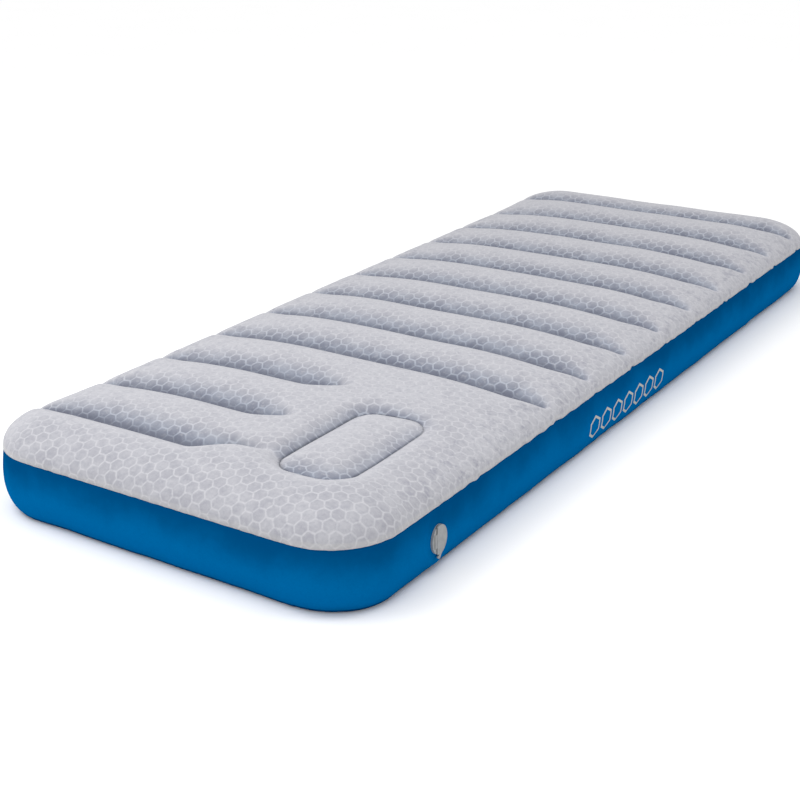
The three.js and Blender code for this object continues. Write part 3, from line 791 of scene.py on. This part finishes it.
def printed_mark(n, x, y, z):
    """Mask of a plain row of hexagon outlines on the outer side of the +X wall."""
    along = n.math("SUBTRACT", y, MARK_START)
    in_cell = n.math("FLOORED_MODULO", along, MARK_CELL)
    b = n.math("ABSOLUTE", n.math("SUBTRACT", in_cell, MARK_CELL / 2))
    a = n.math("ABSOLUTE", n.math("SUBTRACT", z, MARK_HEIGHT))
    slanted = n.math("ADD", n.math("MULTIPLY", a, cos(pi / 6)), n.math("MULTIPLY", b, sin(pi / 6)))
    reach = n.math("MAXIMUM", b, slanted)
    off_line = n.math("ABSOLUTE", n.math("SUBTRACT", reach, MARK_REACH))
    outline_mask = n.ramp(off_line, *MARK_LINE, 1.0, 0.0)
    started = n.math("GREATER_THAN", along, 0.0)
    in_row = n.math("MULTIPLY", started, n.math("LESS_THAN", along, MARK_COUNT * MARK_CELL))
    outer = n.math("GREATER_THAN", x, 0.93 * HALF_W)
    return n.math("MULTIPLY", outline_mask, n.math("MULTIPLY", in_row, outer))


def vinyl_material():
    """Satin blue vinyl with painted shade under the seam and a painted shadow along the foot, with a fine
    pebble grain.
    """
    n = Nodes("blue_vinyl")
    place = n.node("ShaderNodeTexCoord").outputs["Object"]
    axes = n.node("ShaderNodeSeparateXYZ")
    n.link(place, axes.inputs[0])
    x, y, z = axes.outputs
    cloud = n.ramp(n.noise(place, 9, 4, 0.6), 0.3, 0.7, -0.1, 0.1)
    # Painted shade: the wall darkens from its lit blue low down to a shaded blue under the seam.
    height = n.math("ADD", n.math("DIVIDE", z, SEAM_Z), cloud)
    colour = n.mix(n.ramp(height, 0.35, 1.0), WALL_LIT_BLUE, WALL_SHADE_AND_SPECKLE)
    speckle = n.ramp(n.noise(place, 300, 3, 0.6), 0.4, 0.8, 0.0, 0.25)
    colour = n.mix(speckle, colour, WALL_SHADE_AND_SPECKLE)
    # Painted shadow along the foot of the wall, where it turns under.
    colour = n.mix(n.ramp(z, 4 * MM, 8 * MM, 0.8, 0.0), colour, WALL_FOOT_SHADOW)
    colour = n.mix(printed_mark(n, x, y, z), colour, MARK_GREY)
    roughness = n.ramp(n.noise(place, 60, 3), 0.3, 0.7, 0.4, 0.5)
    n.set(Base_Color=colour, Roughness=roughness, Specular_IOR_Level=0.0)
    grain = n.bump(n.noise(place, 650, 3, 0.55), 0.2, 0.2 * MM)
    n.set(Normal=n.bump(n.noise(place, 28, 3, 0.5), 0.2, 1.0 * MM, grain))
    return n.material


def plastic_material(name, colour, roughness, grain_scale=500):
    """Moulded plastic: slight mottling and a fine moulded grain."""
    n = Nodes(name)
    place = n.node("ShaderNodeTexCoord").outputs["Object"]
    dark = tuple(0.86 * c for c in colour)
    n.set(Base_Color=n.mix(n.ramp(n.noise(place, 130, 3, 0.6), 0.35, 0.7), dark, colour))
    n.set(Roughness=n.ramp(n.noise(place, 90, 2), 0.3, 0.7, roughness - 0.05, roughness + 0.06))
    n.set(Normal=n.bump(n.noise(place, grain_scale, 3, 0.5), 0.15, 0.12 * MM))
    return n.material


def foam_material():
    """Open-cell foam with visible pores."""
    n = Nodes("foam")
    place = n.node("ShaderNodeTexCoord").outputs["Object"]
    pores = n.node("ShaderNodeTexVoronoi")
    n.link(place, pores.inputs["Vector"])
    pores.inputs["Scale"].default_value = 420
    depth = n.ramp(pores.outputs["Distance"], 0.0, 0.6)
    n.set(Base_Color=n.mix(depth, FOAM_SHADE, FOAM_PALE), Roughness=0.95)
    n.set(Normal=n.bump(depth, 0.6, 0.8 * MM))
    return n.material


FLOCK = flock_material()
VINYL = vinyl_material()
BASE = plastic_material("base_vinyl", BASE_BLUE, 0.5, 300)
INNER = plastic_material("inner_vinyl", CHAMBER_GREY, 0.5, 300)
FOAM = foam_material()
MOULDED = plastic_material("valve_plastic", VALVE_GREY, 0.42)
SEAL = plastic_material("seal_rubber", SEAL_WHITE, 0.6)


def dress_cad_nodes():
    """Every CAD node gets the material of its slot; the valve plastic and seal nodes also get softened
    edges.
    """
    by_slot = {
        "flocked_top": FLOCK, "blue_vinyl": VINYL, "base_vinyl": BASE, "inner_vinyl": INNER,
        "foam": FOAM, "valve_plastic": MOULDED, "seal": SEAL,
    }
    slots = {s["node"]: s["material_slot"] for s in frame["record"]["subparts"]}
    for name, node in frame["nodes"].items():
        node.data.materials.clear()
        node.data.materials.append(by_slot[slots[name]])
        if slots[name] in ("valve_plastic", "seal"):
            bevel = node.modifiers.new("edges", "BEVEL")
            bevel.width = 0.3 * MM
            bevel.segments = 2
            bevel.limit_method = "ANGLE"


# ---- Floor, light and camera ----
def stage():
    n = Nodes("floor")
    place = n.node("ShaderNodeTexCoord").outputs["Object"]
    darker, lighter = ((level,) * 3 for level in FLOOR_LEVELS)
    n.set(Base_Color=n.mix(n.noise(place, 3, 3), darker, lighter), Roughness=0.9)
    size = 30
    corners = [(-size, -size, 0), (size, -size, 0), (size, size, 0), (-size, size, 0)]
    floor = new_mesh("floor", corners, [(0, 1, 2, 3)], smooth_shading=False)
    floor.data.materials.append(n.material)


def sun(name, azimuth, elevation, softness, strength):
    """A broad soft light from a direction: azimuth is turned from -Y towards +X."""
    light = bpy.data.lights.new(name, "SUN")
    light.angle = radians(softness)
    light.energy = strength
    obj = bpy.data.objects.new(name, light)
    turn = radians(azimuth)
    tilt = radians(elevation)
    toward = Vector((sin(turn) * cos(tilt), -cos(turn) * cos(tilt), sin(tilt)))
    obj.rotation_euler = toward.to_track_quat("Z", "Y").to_euler()
    bpy.context.scene.collection.objects.link(obj)


def area_light(name, place, target, size, power):
    """A round lamp of this diameter and power in watts, turned towards a target."""
    light = bpy.data.lights.new(name, "AREA")
    light.shape = "DISK"
    light.size = size
    light.energy = power
    obj = bpy.data.objects.new(name, light)
    obj.location = place
    obj.rotation_euler = (Vector(place) - Vector(target)).to_track_quat("Z", "Y").to_euler()
    bpy.context.scene.collection.objects.link(obj)


WORLD_LEVELS = (0.57, 1.04)  # strength of the surrounding light: at the horizon, straight up


def lighting():
    """A white surrounding that is brighter overhead, a broad key light and two fills."""
    world = bpy.data.worlds.new("studio")
    world.use_nodes = True
    tree = world.node_tree
    background = tree.nodes["Background"]
    axes = tree.nodes.new("ShaderNodeSeparateXYZ")
    tree.links.new(tree.nodes.new("ShaderNodeTexCoord").outputs["Generated"], axes.inputs[0])
    overhead = tree.nodes.new("ShaderNodeMapRange")
    tree.links.new(axes.outputs["Z"], overhead.inputs["Value"])
    overhead.inputs["To Min"].default_value = WORLD_LEVELS[0]
    overhead.inputs["To Max"].default_value = WORLD_LEVELS[1]
    tree.links.new(overhead.outputs[0], background.inputs["Strength"])
    background.inputs["Color"].default_value = (1, 1, 1, 1)
    bpy.context.scene.world = world
    sun("key", azimuth=-35, elevation=62, softness=50, strength=0.6)
    area_light(
        "foot_fill",
        place=(-0.85 * HALF_L, -1.4 * HALF_L, 1.65 * HALF_L),
        target=(-0.2, -HALF_L, 0),
        size=1.3,
        power=11,
    )
    area_light(
        "side_fill",
        place=(0.9 * HALF_L, -0.55 * HALF_L, 1.9 * HALF_L),
        target=(HALF_W, -0.55 * HALF_L, 0),
        size=0.8,
        power=7,
    )
    bpy.context.scene.view_settings.view_transform = "Standard"


def camera():
    """From beyond the foot end and the +X side, looking down at the whole bed."""
    data = bpy.data.cameras.new("camera")
    data.sensor_width = 36
    data.lens = 63.96
    azimuth = radians(33.05)
    elevation = radians(21.71)
    roll = radians(-0.387)
    forward = Vector((-sin(azimuth) * cos(elevation), cos(azimuth) * cos(elevation), -sin(elevation)))
    right = forward.cross(Vector((0, 0, 1))).normalized()
    up = right.cross(forward)
    tilted_right = right * cos(roll) + up * sin(roll)
    tilted_up = up * cos(roll) - right * sin(roll)
    axes = Matrix((tilted_right, tilted_up, -forward)).transposed().to_4x4()
    length = 2 * HALF_L
    eye = Vector((0.6889 * length, -1.2069 * length, 0.5209 * length))
    obj = bpy.data.objects.new("camera", data)
    obj.matrix_world = Matrix.Translation(eye) @ axes
    bpy.context.scene.collection.objects.link(obj)
    bpy.context.scene.camera = obj


build_top()
build_foam()
build_wall()
dress_cad_nodes()
stage()
lighting()
camera()
